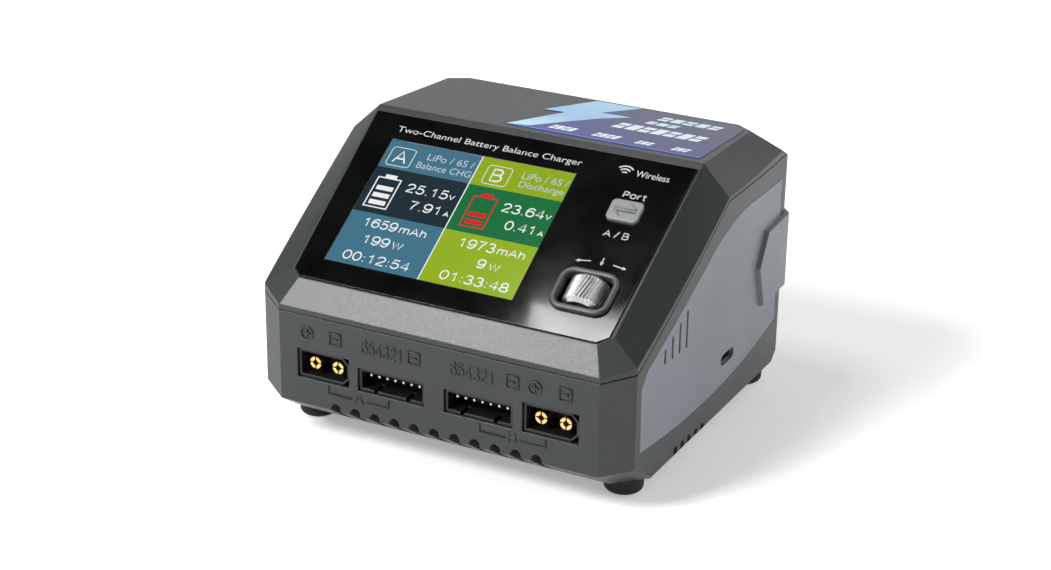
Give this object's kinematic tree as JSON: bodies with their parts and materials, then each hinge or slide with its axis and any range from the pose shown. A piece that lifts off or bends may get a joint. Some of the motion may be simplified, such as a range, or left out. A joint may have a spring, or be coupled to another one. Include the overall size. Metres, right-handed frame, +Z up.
{
  "type": "balance battery charger",
  "caption": "Desktop balance charger with sloping display, press-and-turn roller, port button, two charge sockets, two balance headers, rear fan and rubber feet.",
  "frame": {"origin": "on the resting surface, under the middle of the casing", "axes": "+X to the right along the front, +Y to the back, +Z up"},
  "size_m": [0.1192, 0.1064, 0.0798],
  "materials": {
    "casing": "dark grey moulded, fine texture",
    "side_panel": "blue-grey satin moulding",
    "rear_panel": "black textured",
    "glass": "black gloss, printed from behind",
    "screen": "lit colour display",
    "bezel": "dark grey satin",
    "wheel_metal": "knurled",
    "steel": "plated",
    "button": "mid grey satin",
    "black_plastic": "black nylon",
    "gold": "gold plated",
    "pin_metal": "tinned",
    "circuit_board": "green solder mask",
    "rubber": "moulded",
    "label": "printed film",
    "heat_sink": "extruded",
    "ferrite": "sintered ferrite",
    "winding": "enamelled copper",
    "capacitor": "sleeved can",
    "flat_cable": "flat film"
  },
  "bodies": {
    "charger": {"balance_header_a": "black_plastic", "balance_header_b": "black_plastic", "balance_pins_a": "pin_metal", "balance_pins_b": "pin_metal", "board_screws": "steel", "buzzer": "black_plastic", "case_screws": "steel", "charge_pins_a": "gold", "charge_pins_b": "gold", "charge_socket_a": "black_plastic", "charge_socket_b": "black_plastic", "control_board": "circuit_board", "control_board_screws": "steel", "controller_chips": "black_plastic", "display_cable": "flat_cable", "display_glass": "glass", "fan_frame": "black_plastic", "fan_screws": "steel", "foot_back_left": "rubber", "foot_back_right": "rubber", "foot_front_left": "rubber", "foot_front_right": "rubber", "heat_sink": "heat_sink", "lcd_module": "screen", "lower_shell": "casing", "main_board": "circuit_board", "mains_inlet": "black_plastic", "mains_pins": "steel", "module_spacers": "black_plastic", "output_capacitors": "capacitor", "output_inductors": "ferrite", "port_switch": "black_plastic", "power_pins": "gold", "power_socket": "black_plastic", "power_transistors": "black_plastic", "rear_panel": "rear_panel", "rear_panel_screws": "steel", "side_panel_left": "side_panel", "side_panel_right": "side_panel", "supply_board": "circuit_board", "supply_capacitors": "capacitor", "top_label": "label", "transformer_core": "ferrite", "transformer_winding": "winding", "upper_shell": "casing", "usb_board": "circuit_board", "usb_port": "steel", "wheel_bezel": "bezel", "wheel_guide": "black_plastic", "wheel_switch": "black_plastic"},
    "wheel_carrier": {"wheel_yoke": "black_plastic", "wheel_axle": "steel"},
    "wheel": {"scroll_wheel": "wheel_metal"},
    "button": {"port_button": "button"},
    "fan": {"fan_rotor": "black_plastic"}
  },
  "joints": [
    {"name": "wheel_press", "type": "slide", "parent": "charger", "child": "wheel_carrier", "axis": [0, 0.5446, -0.8387], "range_m": [0, 0.0005], "stiffness_N_per_m": 1500, "springref_m": -0.0004},
    {"name": "wheel_spin", "type": "hinge", "parent": "wheel_carrier", "child": "wheel", "pos_m": [0.0355, -0.03496, 0.05185], "axis": [0, 0.8387, 0.5446], "continuous": true},
    {"name": "button_press", "type": "slide", "parent": "charger", "child": "button", "axis": [0, 0.5446, -0.8387], "range_m": [0, 0.0004], "stiffness_N_per_m": 1500, "springref_m": -0.0004},
    {"name": "fan_spin", "type": "hinge", "parent": "charger", "child": "fan", "pos_m": [0, 0.0449, 0.03965], "axis": [0, 1, 0], "continuous": true}
  ]
}
